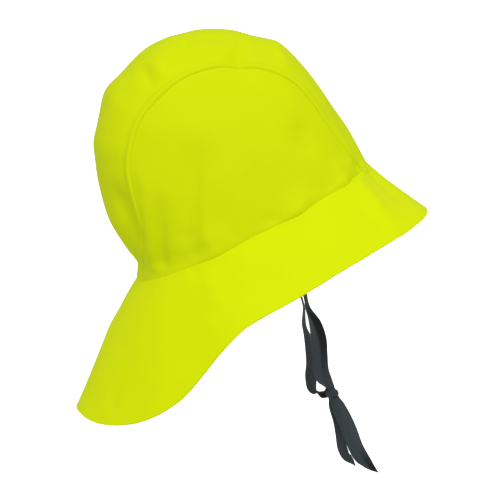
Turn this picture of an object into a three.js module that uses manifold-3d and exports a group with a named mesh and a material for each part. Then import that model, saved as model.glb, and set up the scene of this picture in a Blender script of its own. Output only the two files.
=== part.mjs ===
// A sou'wester: a rain hat of coated fabric with a short brim over the face and a long flap over the neck.
// Millimetres, +Z up. The face looks along -Y, and the wearer's right hand is on the -X side.
// The origin is the middle of the head opening, at the seam between the crown and the brim.

import Module from 'manifold-3d';
import * as THREE from 'three';
import { mergeVertices } from 'three/addons/utils/BufferGeometryUtils.js';

const wasm = await Module();
wasm.setup();

// Driving sizes of the hat

const OPENING_LENGTH = 218;
const OPENING_WIDTH = 170;
const CROWN_HEIGHT = 170.5;
const GUSSET_WIDTH = 116;
const FRONT_BRIM_REACH = 29.8;
const SIDE_BRIM_REACH = 39.5;
const BACK_FLAP_REACH = 97;
const FRONT_BRIM_DROP = 59.5;
const SIDE_BRIM_DROP = 53.2;
const BACK_FLAP_DROP = 90;
const CROWN_WALL = 1.5;
const BRIM_WALL = 2;
const SEAM_GAP = 0.45;
const SEAM_LIP_WIDTH = 4;
const SEAM_LIP_RISE = 0.8;
const CROWN_FULLNESS = 2.45;
const OPENING_FULLNESS = 2.15;
const HAT_PITCH_DEGREES = 7.5;

// Driving sizes of the ties

const RIBBON_WIDTH = 13;
const RIBBON_THICKNESS = 1;
const TIE_INSET = 0.7;
const KNOT_WIDTH = 15;
const KNOT_HEIGHT = 14;
const KNOT_GATHER = 0.55;
const KNOT_TURNS = 3;
const KNOT_RIDGE = 0.12;
const KNOT_GAP = 0.3;
const KNOT_PLACE = { x: -1, y: -16, z: -165 };

// Steps along and across the fabric

const CROWN_STEPS = 60;
const LEG_STEPS = 14;
const GUSSET_HALF_STEPS = 6;
const BRIM_STEPS = 96;
const BRIM_ROWS = 7;
const RIBBON_STEPS = 44;
const TAIL_STEPS = 20;
const KNOT_STEPS = 14;
const WELD = 1e-4;

// Half sizes, and how the fabric takes its shape.
// CORE_HEIGHT and SEAM_HOLD are shares of the crown's height.

const HALF_LENGTH = OPENING_LENGTH / 2;
const HALF_WIDTH = OPENING_WIDTH / 2;
const HALF_GUSSET = GUSSET_WIDTH / 2;
const CORE_HEIGHT = 0.3;
const SEAM_HOLD = 0.05;
const BOW_SCALE = 6.75;
const NORMAL_REACH = 2;
const BISECTIONS = 40;

// Finishes

const GUSSET_YELLOW = 0xd4e60a;
const SIDE_YELLOW = 0xd4e80a;
const BRIM_YELLOW = 0xe0f20a;
const TAPE_GREY = 0x39424a;
const FABRIC_ROUGHNESS = 0.6;
const TAPE_ROUGHNESS = 0.75;

// The crown's outline from the side, from the forehead over the top to the nape.
// forward is a share of half the opening's length, up is a share of the crown's height.

const CROWN_OUTLINE = [
  { forward: 1.0, up: 0.0 },
  { forward: 0.995, up: 0.139 },
  { forward: 0.957, up: 0.323 },
  { forward: 0.915, up: 0.5 },
  { forward: 0.843, up: 0.658 },
  { forward: 0.715, up: 0.78 },
  { forward: 0.537, up: 0.88 },
  { forward: 0.292, up: 0.962 },
  { forward: 0.0, up: 1.0 },
  { forward: -0.245, up: 0.981 },
  { forward: -0.519, up: 0.912 },
  { forward: -0.709, up: 0.794 },
  { forward: -0.859, up: 0.652 },
  { forward: -0.942, up: 0.48 },
  { forward: -0.992, up: 0.314 },
  { forward: -0.969, up: 0.155 },
  { forward: -0.946, up: 0.068 },
  { forward: -1.0, up: 0.0 },
];

// Half of the gusset's width, as a share of the full half width.
// along runs from 0 at the forehead to 1 at the nape.

const GUSSET_TAPER = [
  { along: 0.0, width: 0.7 },
  { along: 0.06, width: 0.82 },
  { along: 0.2, width: 0.89 },
  { along: 0.3, width: 0.95 },
  { along: 0.4, width: 0.99 },
  { along: 0.55, width: 1.01 },
  { along: 0.65, width: 0.98 },
  { along: 0.76, width: 0.96 },
  { along: 0.82, width: 0.9 },
  { along: 0.88, width: 0.67 },
  { along: 0.94, width: 0.37 },
  { along: 1.0, width: 0.26 },
];

// Folds, dents and puffs of the crown, each along a short line on its outer face.
// forward, right and up are shares of half the length, half the width and the height.
// wide and deep are shares of the height, and a puff has a negative depth.

const CROWN_FOLDS = [
  // dip over the brow
  { forward: 0.6, right: -0.4, up: 0.82, toForward: 0.4, toRight: 0.6, toUp: 0.75,
    wide: 0.045, deep: 0.034 },
  // shelf before it
  { forward: 0.64, right: 0.1, up: 0.81, toForward: 0.6, toRight: 0.45, toUp: 0.73,
    wide: 0.05, deep: 0.012 },
  // brow ridge
  { forward: 0.78, right: 0.0, up: 0.74, toForward: 0.74, toRight: 0.42, toUp: 0.65,
    wide: 0.035, deep: -0.015 },
  // crease on top
  { forward: 0.17, right: 0.0, up: 0.98, toForward: 0.13, toRight: 0.31, toUp: 0.95,
    wide: 0.025, deep: 0.014 },
  // fold behind it
  { forward: -0.15, right: 0.15, up: 0.98, toForward: -0.3, toRight: 0.42, toUp: 0.89,
    wide: 0.025, deep: 0.01 },
  // puff beside it
  { forward: -0.1, right: 0.3, up: 0.95, toForward: -0.15, toRight: 0.49, toUp: 0.88,
    wide: 0.03, deep: -0.008 },
  // flat of the back
  { forward: -0.38, right: -0.1, up: 0.955, toForward: -0.37, toRight: 0.4, toUp: 0.89,
    wide: 0.07, deep: 0.012 },
  // back shoulder
  { forward: -0.56, right: -0.1, up: 0.89, toForward: -0.48, toRight: 0.3, toUp: 0.88,
    wide: 0.05, deep: -0.012 },
  // back bulge
  { forward: -0.8, right: -0.15, up: 0.7, toForward: -0.73, toRight: 0.41, toUp: 0.67,
    wide: 0.05, deep: -0.008 },
  // back dent
  { forward: -0.86, right: 0.0, up: 0.6, toForward: -0.78, toRight: 0.45, toUp: 0.58,
    wide: 0.06, deep: 0.01 },
  // hollow over the nape
  { forward: -0.85, right: 0.47, up: 0.42, toForward: -0.88, toRight: 0.5, toUp: 0.24,
    wide: 0.07, deep: 0.028 },
  // nape pinch
  { forward: -0.92, right: 0.35, up: 0.22, toForward: -0.95, toRight: 0.21, toUp: 0.05,
    wide: 0.035, deep: 0.012 },
  // broad side fold
  { forward: -0.28, right: 0.88, up: 0.45, toForward: -0.64, toRight: 0.78, toUp: 0.2,
    wide: 0.1, deep: 0.022 },
  // side valley
  { forward: -0.62, right: 0.77, up: 0.32, toForward: -0.78, toRight: 0.59, toUp: 0.07,
    wide: 0.035, deep: 0.01 },
  // side ridge
  { forward: -0.62, right: 0.72, up: 0.46, toForward: -0.84, toRight: 0.5, toUp: 0.06,
    wide: 0.03, deep: -0.01 },
  // temple dent
  { forward: 0.51, right: 0.85, up: 0.3, toForward: 0.61, toRight: 0.77, toUp: 0.31,
    wide: 0.07, deep: 0.01 },
  // back seam puff
  { forward: -0.45, right: 0.9, up: 0.07, toForward: -0.33, toRight: 0.93, toUp: 0.07,
    wide: 0.05, deep: -0.01 },
  // side seam puff
  { forward: 0.22, right: 0.97, up: 0.06, toForward: 0.36, toRight: 0.94, toUp: 0.06,
    wide: 0.05, deep: -0.01 },
  // front seam puff
  { forward: 0.74, right: 0.69, up: 0.06, toForward: 0.82, toRight: 0.6, toUp: 0.06,
    wide: 0.05, deep: -0.008 },
  // left hollow over the nape
  { forward: -0.84, right: -0.5, up: 0.4, toForward: -0.9, toRight: -0.42, toUp: 0.22,
    wide: 0.09, deep: 0.018 },
  // left side fold
  { forward: -0.1, right: -0.95, up: 0.5, toForward: -0.5, toRight: -0.85, toUp: 0.15,
    wide: 0.09, deep: 0.018 },
  // left temple fold
  { forward: 0.45, right: -0.86, up: 0.42, toForward: 0.62, toRight: -0.72, toUp: 0.12,
    wide: 0.05, deep: 0.012 },
  // left top fold
  { forward: 0.3, right: -0.35, up: 0.92, toForward: 0.24, toRight: -0.6, toUp: 0.8,
    wide: 0.04, deep: 0.014 },
  // left back fold
  { forward: -0.6, right: -0.45, up: 0.8, toForward: -0.5, toRight: -0.7, toUp: 0.62,
    wide: 0.05, deep: 0.012 },
];

// The brim at each bearing from the face: how far out and how far down its edge lies from the seam.
// bow is how far the fabric bows out between them, most of it near the seam, as a share of the reach.

const BRIM_EDGE = [
  { bearing: 0, reach: FRONT_BRIM_REACH, drop: FRONT_BRIM_DROP, bow: -0.03 },
  { bearing: 20, reach: FRONT_BRIM_REACH * 1.03, drop: FRONT_BRIM_DROP * 0.93, bow: -0.03 },
  { bearing: 40, reach: FRONT_BRIM_REACH * 1.09, drop: FRONT_BRIM_DROP * 0.91, bow: 0 },
  { bearing: 60, reach: SIDE_BRIM_REACH * 0.91, drop: SIDE_BRIM_DROP * 0.98, bow: 0.033 },
  { bearing: 75, reach: SIDE_BRIM_REACH * 0.96, drop: SIDE_BRIM_DROP * 0.97, bow: 0.042 },
  { bearing: 90, reach: SIDE_BRIM_REACH, drop: SIDE_BRIM_DROP, bow: 0.05 },
  { bearing: 112, reach: SIDE_BRIM_REACH * 1.16, drop: SIDE_BRIM_DROP * 1.03, bow: 0.043 },
  { bearing: 120, reach: BACK_FLAP_REACH * 0.53, drop: BACK_FLAP_DROP * 0.67, bow: 0.038 },
  { bearing: 128, reach: BACK_FLAP_REACH * 0.59, drop: BACK_FLAP_DROP * 0.78, bow: 0.042 },
  { bearing: 137, reach: BACK_FLAP_REACH * 0.7, drop: BACK_FLAP_DROP * 0.94, bow: 0.043 },
  { bearing: 146, reach: BACK_FLAP_REACH * 0.82, drop: BACK_FLAP_DROP, bow: 0.043 },
  { bearing: 155, reach: BACK_FLAP_REACH * 0.9, drop: BACK_FLAP_DROP * 0.99, bow: 0.039 },
  { bearing: 166, reach: BACK_FLAP_REACH * 0.98, drop: BACK_FLAP_DROP * 0.91, bow: 0.036 },
  { bearing: 180, reach: BACK_FLAP_REACH, drop: BACK_FLAP_DROP * 0.81, bow: 0.035 },
];

// Each tie starts flat against the inside of the crown, just above the seam.

const EAR = HALF_WIDTH - CROWN_WALL - TIE_INSET - RIBBON_THICKNESS / 2;

// The ties' routes, chosen by hand, from the seam at each ear to the knot, and from the knot to each end.
// turn is 0 degrees where the ribbon's width lies front to back, and 90 where it lies left to right.
// wide is a share of the ribbon's width.

const RIGHT_TIE = [
  { x: -EAR, y: -4, z: 9, turn: 0, wide: 1 },
  { x: -EAR, y: -4, z: -2, turn: 0, wide: 1 },
  { x: -80, y: -6, z: -18, turn: 10, wide: 1 },
  { x: -75, y: -10, z: -40, turn: 35, wide: 1 },
  { x: -67, y: -14, z: -62, turn: 75, wide: 1 },
  { x: -62, y: -14, z: -72, turn: 84, wide: 1 },
  { x: -57, y: -13, z: -80, turn: 70, wide: 1 },
  { x: -50, y: -13, z: -93, turn: 35, wide: 1 },
  { x: -41, y: -14, z: -109, turn: 10, wide: 1 },
  { x: -32, y: -13, z: -124, turn: 8, wide: 1 },
  { x: -21, y: -13, z: -140, turn: 12, wide: 0.9 },
  { x: -12, y: -14, z: -152, turn: 18, wide: 0.75 },
  { x: -6.2, y: -15, z: -158.8, turn: 20, wide: KNOT_GATHER },
  { ...KNOT_PLACE, turn: 20, wide: KNOT_GATHER },
];

const RIGHT_TAIL = [
  { ...KNOT_PLACE, turn: 12, wide: KNOT_GATHER },
  { x: -2.6, y: -16.7, z: -172.9, turn: 12, wide: KNOT_GATHER },
  { x: -3, y: -17, z: -178, turn: 12, wide: 0.75 },
  { x: -5, y: -18, z: -189, turn: 5, wide: 1 },
  { x: -8, y: -19, z: -202, turn: 5, wide: 1 },
  { x: -10, y: -19, z: -216, turn: 10, wide: 1 },
  { x: -11, y: -21, z: -228, turn: 25, wide: 1 },
  { x: -11, y: -25, z: -240, turn: 55, wide: 1 },
];

const LEFT_TIE = [
  { x: EAR, y: -4, z: 9, turn: 0, wide: 1 },
  { x: EAR, y: -4, z: -2, turn: 0, wide: 1 },
  { x: 79, y: -9, z: -26, turn: -10, wide: 1 },
  { x: 71, y: -17, z: -56, turn: -40, wide: 1 },
  { x: 60, y: -24, z: -83, turn: -80, wide: 1 },
  { x: 52, y: -23, z: -97, turn: -88, wide: 1 },
  { x: 45, y: -18, z: -111, turn: -75, wide: 1 },
  { x: 39, y: -17, z: -120, turn: -60, wide: 1 },
  { x: 32, y: -14, z: -132, turn: -50, wide: 1 },
  { x: 25, y: -10, z: -144, turn: -45, wide: 1 },
  { x: 18, y: -5, z: -153, turn: -45, wide: 1 },
  { x: 13, y: -3, z: -161, turn: -50, wide: 0.9 },
  { x: 10, y: -6, z: -165, turn: -65, wide: 0.75 },
  { x: 5.6, y: -10.9, z: -166, turn: -70, wide: KNOT_GATHER },
  { ...KNOT_PLACE, turn: -70, wide: KNOT_GATHER },
];

const LEFT_TAIL = [
  { ...KNOT_PLACE, turn: 8, wide: KNOT_GATHER },
  { x: 1.6, y: -15.3, z: -172.8, turn: 8, wide: KNOT_GATHER },
  { x: 2.8, y: -15, z: -178, turn: -10, wide: 0.75 },
  { x: 4, y: -15, z: -189, turn: -35, wide: 1 },
  { x: 6, y: -13, z: -203, turn: -35, wide: 1 },
  { x: 7, y: -10, z: -217, turn: -50, wide: 1 },
  { x: 7, y: -10, z: -227, turn: -70, wide: 1 },
  { x: 6, y: -15, z: -236, turn: -85, wide: 1 },
];

// A smooth value between the rows of a table, by one of its named columns, level at both ends.

function readTable(rows, key, column, at) {
  const last = rows.length - 1;
  let i = 0;
  while (i < last - 1 && at > rows[i + 1][key]) {
    i += 1;
  }
  const low = rows[i];
  const high = rows[i + 1];
  const span = high[key] - low[key];
  const share = THREE.MathUtils.clamp((at - low[key]) / span, 0, 1);
  const slopeLow = i === 0 ? 0 : slope(rows[i - 1], high, key, column) * span;
  const slopeHigh = i === last - 1 ? 0 : slope(low, rows[i + 2], key, column) * span;
  const square = share * share;
  const cube = square * share;
  return (
    low[column] * (2 * cube - 3 * square + 1) +
    slopeLow * (cube - 2 * square + share) +
    high[column] * (3 * square - 2 * cube) +
    slopeHigh * (cube - square)
  );
}

function slope(a, b, key, column) {
  return (b[column] - a[column]) / (b[key] - a[key]);
}

// A place on the hat: forward from the middle, out to the wearer's right, and up.

function place(forward, right, up) {
  return new THREE.Vector3(-right, -forward, up);
}

// The crown's outline from the side as one smooth curve.

const outlineCurve = new THREE.CatmullRomCurve3(
  CROWN_OUTLINE.map((row) => place(row.forward * HALF_LENGTH, 0, row.up * CROWN_HEIGHT)),
  false,
  'centripetal',
);

// The crown is an oval dome, and fuller over the top than round the opening.
// rim is a point of its outline from the side, and right is how far a point lies from the middle line.

function fullnessAt(rim) {
  const rise = rim.z / Math.hypot(rim.y, rim.z);
  return THREE.MathUtils.lerp(OPENING_FULLNESS, CROWN_FULLNESS, rise * rise);
}

function crownPoint(along, right) {
  const rim = outlineCurve.getPoint(along);
  const fullness = fullnessAt(rim);
  const sideways = Math.min(Math.abs(right) / HALF_WIDTH, 1);
  const share = (1 - sideways ** fullness) ** (1 / fullness);
  return new THREE.Vector3(-right, rim.y * share, rim.z * share);
}

// The outline's point in the direction of a place of the side view.

function rimTowards(forward, up) {
  const bearing = Math.atan2(up / CROWN_HEIGHT, forward / HALF_LENGTH);
  let low = 0;
  let high = 1;
  for (let step = 0; step < BISECTIONS; step += 1) {
    const middle = (low + high) / 2;
    const rim = outlineCurve.getPoint(middle);
    const rimBearing = Math.atan2(rim.z / CROWN_HEIGHT, -rim.y / HALF_LENGTH);
    if (rimBearing < bearing) {
      low = middle;
    } else {
      high = middle;
    }
  }
  return outlineCurve.getPoint((low + high) / 2);
}

// The point of the right half that shows at a place of the side view.

function crownPointInSideView(forward, up) {
  const rim = rimTowards(forward, up);
  const fullness = fullnessAt(rim);
  const share = Math.min(Math.hypot(forward, up) / Math.hypot(rim.y, rim.z), 1);
  return place(forward, HALF_WIDTH * (1 - share ** fullness) ** (1 / fullness), up);
}

// A point near the dome, moved onto it.

function ontoDome(point) {
  const rim = rimTowards(-point.y, point.z);
  const fullness = fullnessAt(rim);
  const sideways = Math.abs(point.x) / HALF_WIDTH;
  const upright = Math.hypot(point.y, point.z) / Math.hypot(rim.y, rim.z);
  const size = (sideways ** fullness + upright ** fullness) ** (1 / fullness);
  return point.clone().divideScalar(size);
}

// The folds press the fabric in or out, and leave the seam with the brim where it is.

const foldLines = CROWN_FOLDS.map((row) => ({
  line: new THREE.Line3(
    place(row.forward * HALF_LENGTH, row.right * HALF_WIDTH, row.up * CROWN_HEIGHT),
    place(row.toForward * HALF_LENGTH, row.toRight * HALF_WIDTH, row.toUp * CROWN_HEIGHT),
  ),
  wide: row.wide * CROWN_HEIGHT,
  deep: row.deep * CROWN_HEIGHT,
}));

function folded(point) {
  const core = new THREE.Vector3(0, 0, CROWN_HEIGHT * CORE_HEIGHT);
  const outward = point.clone().sub(core).normalize();
  const nearest = new THREE.Vector3();
  let depth = 0;
  for (const fold of foldLines) {
    const distance = fold.line.closestPointToPoint(point, true, nearest).distanceTo(point);
    depth += fold.deep * Math.exp(-((distance / fold.wide) ** 2));
  }
  const hold = THREE.MathUtils.smoothstep(point.z, 0, CROWN_HEIGHT * SEAM_HOLD);
  return point.clone().addScaledVector(outward, -depth * hold);
}

// The way out of the folded crown at a point of the dome. Pieces that share a seam share it there.

function wayOut(point) {
  const away = point.clone().normalize();
  const aside = new THREE.Vector3(1, 1, 1).cross(away).setLength(NORMAL_REACH);
  const ahead = away.clone().cross(aside);
  const across = [aside, ahead].map((step) => {
    const after = folded(ontoDome(point.clone().add(step)));
    const before = folded(ontoDome(point.clone().sub(step)));
    return after.sub(before);
  });
  return across[0].cross(across[1]).normalize();
}

function raised(point, height) {
  return folded(point).addScaledVector(wayOut(point), height);
}

// A wall of fabric: a grid of points on its outer face, and the same grid set in by the wall.
// A ring grid joins its last column to its first one.

function wallGeometry(outer, inner, ring) {
  const rows = outer.length;
  const columns = outer[0].length;
  const positions = [];
  const triangle = (a, b, c) => positions.push(a, b, c);
  const quad = (a, b, c, d) => {
    triangle(a, b, c);
    triangle(a, c, d);
  };
  const lastColumn = ring ? columns : columns - 1;
  for (let i = 0; i < rows - 1; i += 1) {
    for (let j = 0; j < lastColumn; j += 1) {
      const k = (j + 1) % columns;
      quad(outer[i][j], outer[i][k], outer[i + 1][k], outer[i + 1][j]);
      quad(inner[i][j], inner[i + 1][j], inner[i + 1][k], inner[i][k]);
    }
  }
  const top = rows - 1;
  for (let j = 0; j < lastColumn; j += 1) {
    const k = (j + 1) % columns;
    quad(outer[0][j], inner[0][j], inner[0][k], outer[0][k]);
    quad(outer[top][j], outer[top][k], inner[top][k], inner[top][j]);
  }
  if (!ring) {
    const end = columns - 1;
    for (let i = 0; i < rows - 1; i += 1) {
      quad(outer[i][0], outer[i + 1][0], inner[i + 1][0], inner[i][0]);
      quad(outer[i][end], inner[i][end], inner[i + 1][end], outer[i + 1][end]);
    }
  }
  const geometry = new THREE.BufferGeometry().setFromPoints(positions);
  return mergeVertices(geometry, WELD);
}

// A ring of fabric set in by its wall.

function setIn(grid, depth) {
  const rows = grid.length;
  const columns = grid[0].length;
  return grid.map((row, i) =>
    row.map((point, j) => {
      const across = row[(j + 1) % columns].clone().sub(row[(j + columns - 1) % columns]);
      const up = grid[Math.min(i + 1, rows - 1)][j].clone().sub(grid[Math.max(i - 1, 0)][j]);
      return point.clone().addScaledVector(across.cross(up).normalize(), -depth);
    }),
  );
}

// The gusset, from the forehead over the top to the nape. Its edges are turned under, which lifts them.

function gussetHalfWidth(along) {
  return HALF_GUSSET * readTable(GUSSET_TAPER, 'along', 'width', along);
}

function makeGusset() {
  const outer = [];
  const inner = [];
  for (let i = 0; i <= CROWN_STEPS; i += 1) {
    const along = i / CROWN_STEPS;
    const half = gussetHalfWidth(along);
    const row = [];
    for (let j = -GUSSET_HALF_STEPS; j <= GUSSET_HALF_STEPS; j += 1) {
      const toLip = (Math.abs(j) / (GUSSET_HALF_STEPS - 1)) * (half - SEAM_LIP_WIDTH);
      const right = Math.abs(j) === GUSSET_HALF_STEPS ? half : toLip;
      const point = crownPoint(along, right);
      point.x *= -Math.sign(j);
      row.push(point);
    }
    outer.push(row.map((point, j) => raised(point, j % (row.length - 1) === 0 ? SEAM_LIP_RISE : 0)));
    inner.push(row.map((point) => raised(point, -CROWN_WALL)));
  }
  return wallGeometry(outer, inner, false);
}

// A side panel fills the arch between the gusset and the brim. side is 1 on the right, -1 on the left.

function makeSidePanel(side) {
  const archPoint = (step) => {
    const along = step / CROWN_STEPS;
    return crownPoint(along, gussetHalfWidth(along) + SEAM_GAP);
  };
  const topSteps = CROWN_STEPS - 2 * LEG_STEPS;
  const front = archPoint(0);
  const back = archPoint(CROWN_STEPS);
  const frontShoulder = archPoint(LEG_STEPS);
  const backShoulder = archPoint(CROWN_STEPS - LEG_STEPS);
  const outer = [];
  const inner = [];
  for (let i = 0; i <= LEG_STEPS; i += 1) {
    const v = i / LEG_STEPS;
    const row = [];
    for (let j = 0; j <= topSteps; j += 1) {
      const u = j / topSteps;
      const low = front.clone().lerp(back, u);
      const high = archPoint(LEG_STEPS + j);
      const legs = archPoint(i).lerp(archPoint(CROWN_STEPS - i), u);
      const corners = low.clone().lerp(frontShoulder.clone().lerp(backShoulder, u), v);
      const flat = low.clone().lerp(high, v).add(legs).sub(corners);
      const point = crownPointInSideView(-flat.y, flat.z);
      row.push(new THREE.Vector3(side * point.x, point.y, point.z));
    }
    const ordered = side > 0 ? row.reverse() : row;
    outer.push(ordered.map(folded));
    inner.push(ordered.map((corner) => raised(corner, -CROWN_WALL)));
  }
  return wallGeometry(outer, inner, false);
}

// The brim, one piece all the way round.

function openingPoint(bearing) {
  const angle = THREE.MathUtils.degToRad(bearing);
  const forward = Math.abs(Math.cos(angle) / HALF_LENGTH) ** OPENING_FULLNESS;
  const right = Math.abs(Math.sin(angle) / HALF_WIDTH) ** OPENING_FULLNESS;
  const radius = 1 / (forward + right) ** (1 / OPENING_FULLNESS);
  return place(radius * Math.cos(angle), radius * Math.sin(angle), 0);
}

function makeBrim() {
  const outer = [];
  for (let i = BRIM_ROWS; i >= 0; i -= 1) {
    const share = i / BRIM_ROWS;
    const swell = BOW_SCALE * share * (1 - share) ** 2;
    const row = [];
    for (let j = BRIM_STEPS - 1; j >= 0; j -= 1) {
      const bearing = (360 * j) / BRIM_STEPS;
      const mirrored = bearing > 180 ? 360 - bearing : bearing;
      const start = openingPoint(bearing);
      const outward = start.clone().normalize();
      const reach = readTable(BRIM_EDGE, 'bearing', 'reach', mirrored);
      const drop = readTable(BRIM_EDGE, 'bearing', 'drop', mirrored);
      const bow = readTable(BRIM_EDGE, 'bearing', 'bow', mirrored) * reach * swell;
      const slant = Math.hypot(reach, drop);
      const point = start.addScaledVector(outward, reach * share + (bow * drop) / slant);
      point.z = (bow * reach) / slant - SEAM_GAP - drop * share;
      row.push(point);
    }
    outer.push(row);
  }
  return wallGeometry(outer, setIn(outer, BRIM_WALL), true);
}

// A tie is a flat ribbon that follows its route and turns as it goes.

function makeRibbon(route, steps) {
  const curve = new THREE.CatmullRomCurve3(
    route.map((row) => new THREE.Vector3(row.x, row.y, row.z)),
    false,
    'centripetal',
  );
  const rows = route.map((row, index) => ({ ...row, index: index / (route.length - 1) }));
  const face = [];
  const back = [];
  for (let i = 0; i <= steps; i += 1) {
    const share = i / steps;
    const centre = curve.getPoint(share);
    const ahead = curve.getTangent(share);
    const turn = THREE.MathUtils.degToRad(readTable(rows, 'index', 'turn', share));
    const half = (RIBBON_WIDTH * readTable(rows, 'index', 'wide', share)) / 2;
    const level = new THREE.Vector3(0, -1, 0).projectOnPlane(ahead).normalize();
    const width = level.applyAxisAngle(ahead, turn);
    const normal = ahead.clone().cross(width).multiplyScalar(RIBBON_THICKNESS / 2);
    const near = centre.clone().addScaledVector(width, -half);
    const far = centre.clone().addScaledVector(width, half);
    face.push([near.clone().add(normal), far.clone().add(normal)]);
    back.push([near.clone().sub(normal), far.clone().sub(normal)]);
  }
  return wallGeometry(face.reverse(), back.reverse(), false);
}

// The knot is a lump of tape whose turns cross over it. gap makes it that much bigger all round.

function makeKnot(gap) {
  const ball = new THREE.SphereGeometry(1, KNOT_STEPS, KNOT_STEPS / 2);
  ball.deleteAttribute('normal');
  ball.deleteAttribute('uv');
  const geometry = mergeVertices(ball, WELD);
  const position = geometry.attributes.position;
  const point = new THREE.Vector3();
  for (let i = 0; i < position.count; i += 1) {
    point.fromBufferAttribute(position, i);
    const around = Math.atan2(point.y, point.x);
    const turn = Math.cos(KNOT_TURNS * (around + (point.z * Math.PI) / 2));
    const ridge = 1 + KNOT_RIDGE * turn * (1 - point.z * point.z);
    point.set(point.x * KNOT_WIDTH, point.y * KNOT_WIDTH, point.z * KNOT_HEIGHT).multiplyScalar(ridge / 2);
    point.setLength(point.length() + gap);
    position.setXYZ(i, point.x, point.y, point.z);
  }
  return geometry;
}

// Each ribbon ends at the knot, just clear of it.

function solidOf(geometry) {
  const vertProperties = new Float32Array(geometry.attributes.position.array);
  const triVerts = new Uint32Array(geometry.index.array);
  return new wasm.Manifold(new wasm.Mesh({ numProp: 3, vertProperties, triVerts }));
}

const knotRoom = makeKnot(KNOT_GAP).translate(KNOT_PLACE.x, KNOT_PLACE.y, KNOT_PLACE.z);

function makeTie(route, steps) {
  const cut = solidOf(makeRibbon(route, steps)).subtract(solidOf(knotRoom)).getMesh();
  const geometry = new THREE.BufferGeometry();
  geometry.setAttribute('position', new THREE.BufferAttribute(cut.vertProperties, 3));
  geometry.setIndex(new THREE.BufferAttribute(cut.triVerts, 1));
  return geometry;
}

// The pieces, each with a finish of its own

function finish(name, colour, roughness) {
  return new THREE.MeshStandardMaterial({ name, color: colour, roughness, metalness: 0 });
}

function piece(name, geometry, material) {
  const mesh = new THREE.Mesh(geometry, material);
  mesh.name = name;
  return mesh;
}

const gussetFabric = finish('gusset fabric', GUSSET_YELLOW, FABRIC_ROUGHNESS);
const rightFabric = finish('right side fabric', SIDE_YELLOW, FABRIC_ROUGHNESS);
const leftFabric = finish('left side fabric', SIDE_YELLOW, FABRIC_ROUGHNESS);
const brimFabric = finish('brim fabric', BRIM_YELLOW, FABRIC_ROUGHNESS);

const hat = new THREE.Group();
hat.add(piece('crown_gusset', makeGusset(), gussetFabric));
hat.add(piece('crown_side_right', makeSidePanel(1), rightFabric));
hat.add(piece('crown_side_left', makeSidePanel(-1), leftFabric));
hat.add(piece('brim', makeBrim(), brimFabric));
hat.rotation.x = THREE.MathUtils.degToRad(-HAT_PITCH_DEGREES);

const tape = (name) => finish(name, TAPE_GREY, TAPE_ROUGHNESS);
const knot = piece('tie_knot', makeKnot(0), tape('knot tape'));
knot.position.set(KNOT_PLACE.x, KNOT_PLACE.y, KNOT_PLACE.z);

const ties = new THREE.Group();
ties.add(piece('tie_ribbon_right', makeTie(RIGHT_TIE, RIBBON_STEPS), tape('right ribbon tape')));
ties.add(piece('tie_ribbon_left', makeTie(LEFT_TIE, RIBBON_STEPS), tape('left ribbon tape')));
ties.add(piece('tie_tail_right', makeTie(RIGHT_TAIL, TAIL_STEPS), tape('right tail tape')));
ties.add(piece('tie_tail_left', makeTie(LEFT_TAIL, TAIL_STEPS), tape('left tail tape')));
ties.add(knot);

const souwester = new THREE.Group();
souwester.add(hat, ties);

export default souwester;
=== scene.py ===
# %% [markdown]
# # A sou'wester, a rain hat of coated fabric
#
# The hat is cut from four pieces of coated fabric: one long gusset that runs over the head from the
# forehead to the nape, two arched side panels, and a brim that is short over the face and long over
# the neck. Two flat dark ribbons come out at the ears and are knotted under the chin.
#
# Everything is in metres, +Z up. The face looks along -Y, and the wearer's right is on the -X side.
#
# The frame holds the hat's solids, which have its true form but plain faces. Each soft piece below
# stands in for one or two of them. It keeps the solid's form and adds the folds, edges and finish.

# %% The frame
import math

import bpy
from mathutils import Matrix, Vector, kdtree, noise


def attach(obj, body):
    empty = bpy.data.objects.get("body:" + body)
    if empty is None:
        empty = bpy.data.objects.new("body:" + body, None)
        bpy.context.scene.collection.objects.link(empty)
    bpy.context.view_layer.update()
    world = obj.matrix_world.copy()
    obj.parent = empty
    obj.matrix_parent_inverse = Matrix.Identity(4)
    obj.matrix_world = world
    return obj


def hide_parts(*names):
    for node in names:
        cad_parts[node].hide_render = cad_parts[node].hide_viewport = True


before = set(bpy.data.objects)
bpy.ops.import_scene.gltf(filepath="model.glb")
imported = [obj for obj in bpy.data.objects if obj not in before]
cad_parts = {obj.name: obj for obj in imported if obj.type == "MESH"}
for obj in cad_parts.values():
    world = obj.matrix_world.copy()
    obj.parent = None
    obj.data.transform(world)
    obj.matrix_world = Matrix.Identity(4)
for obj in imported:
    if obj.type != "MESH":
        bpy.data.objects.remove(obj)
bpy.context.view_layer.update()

MM = 0.001
print("solids", len(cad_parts))

# %% [markdown]
# ## The camera
#
# The photograph was taken from the wearer's right, a little above, and the hat was then turned in the
# picture, so that its brim climbs to the right. A camera can be aimed with a Track To constraint, but a
# constraint knows no roll. Here its three axes are worked out from the azimuth, the elevation and the
# roll, so each of them can be changed by itself. The angle of view follows from the distance and the
# width that the picture takes in at the hat.

# %% Where the camera looks from
VIEW_AZIMUTH = math.radians(-95)
VIEW_ELEVATION = math.radians(9.3)
VIEW_ROLL = math.radians(19.3)

toward_camera = Vector((
    math.sin(VIEW_AZIMUTH) * math.cos(VIEW_ELEVATION),
    -math.cos(VIEW_AZIMUTH) * math.cos(VIEW_ELEVATION),
    math.sin(VIEW_ELEVATION),
))
view_right = Vector((math.cos(VIEW_AZIMUTH), math.sin(VIEW_AZIMUTH), 0))
view_up = toward_camera.cross(view_right)
turned_right = view_right * math.cos(VIEW_ROLL) - view_up * math.sin(VIEW_ROLL)
turned_up = view_right * math.sin(VIEW_ROLL) + view_up * math.cos(VIEW_ROLL)
print("toward the camera", [round(v, 3) for v in toward_camera])

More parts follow.
